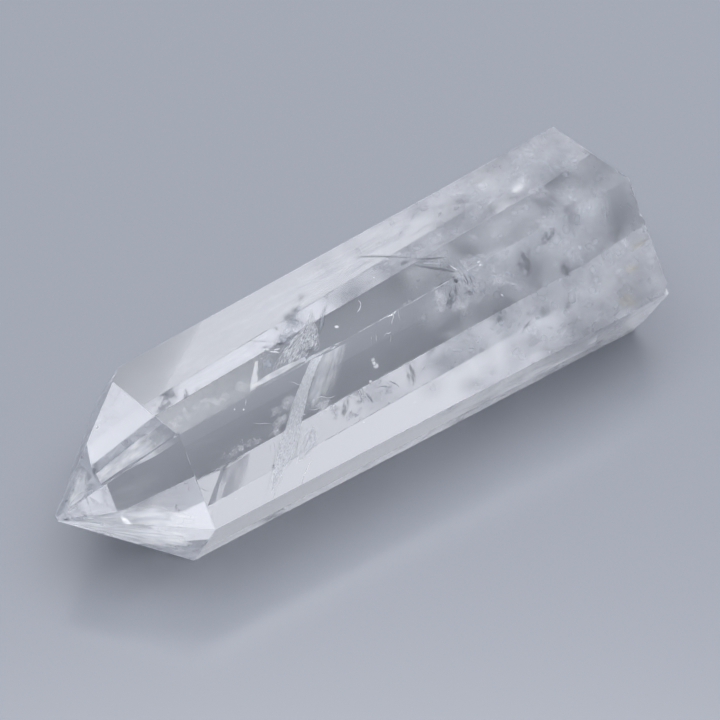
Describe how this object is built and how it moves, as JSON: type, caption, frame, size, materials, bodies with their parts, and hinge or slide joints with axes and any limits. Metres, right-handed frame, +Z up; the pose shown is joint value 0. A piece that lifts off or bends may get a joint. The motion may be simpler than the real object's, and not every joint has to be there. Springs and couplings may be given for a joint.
{
  "type": "quartz point",
  "caption": "Clear quartz crystal cut and polished as a six-sided point, lying on one long flat, with a sawn flat base and small chips in its edges.",
  "frame": {"origin": "middle of the object's box, seen from above, on the surface that it lies on", "axes": "+X along the crystal from its tip to its sawn base, +Z up, and -Y towards the wide front flats"},
  "size_m": [0.0754, 0.0272, 0.0222],
  "materials": {
    "clear_quartz": "polished, see-through, with white fractures and veils inside"
  },
  "bodies": {
    "root": {"quartz_point": "clear_quartz"}
  },
  "joints": []
}
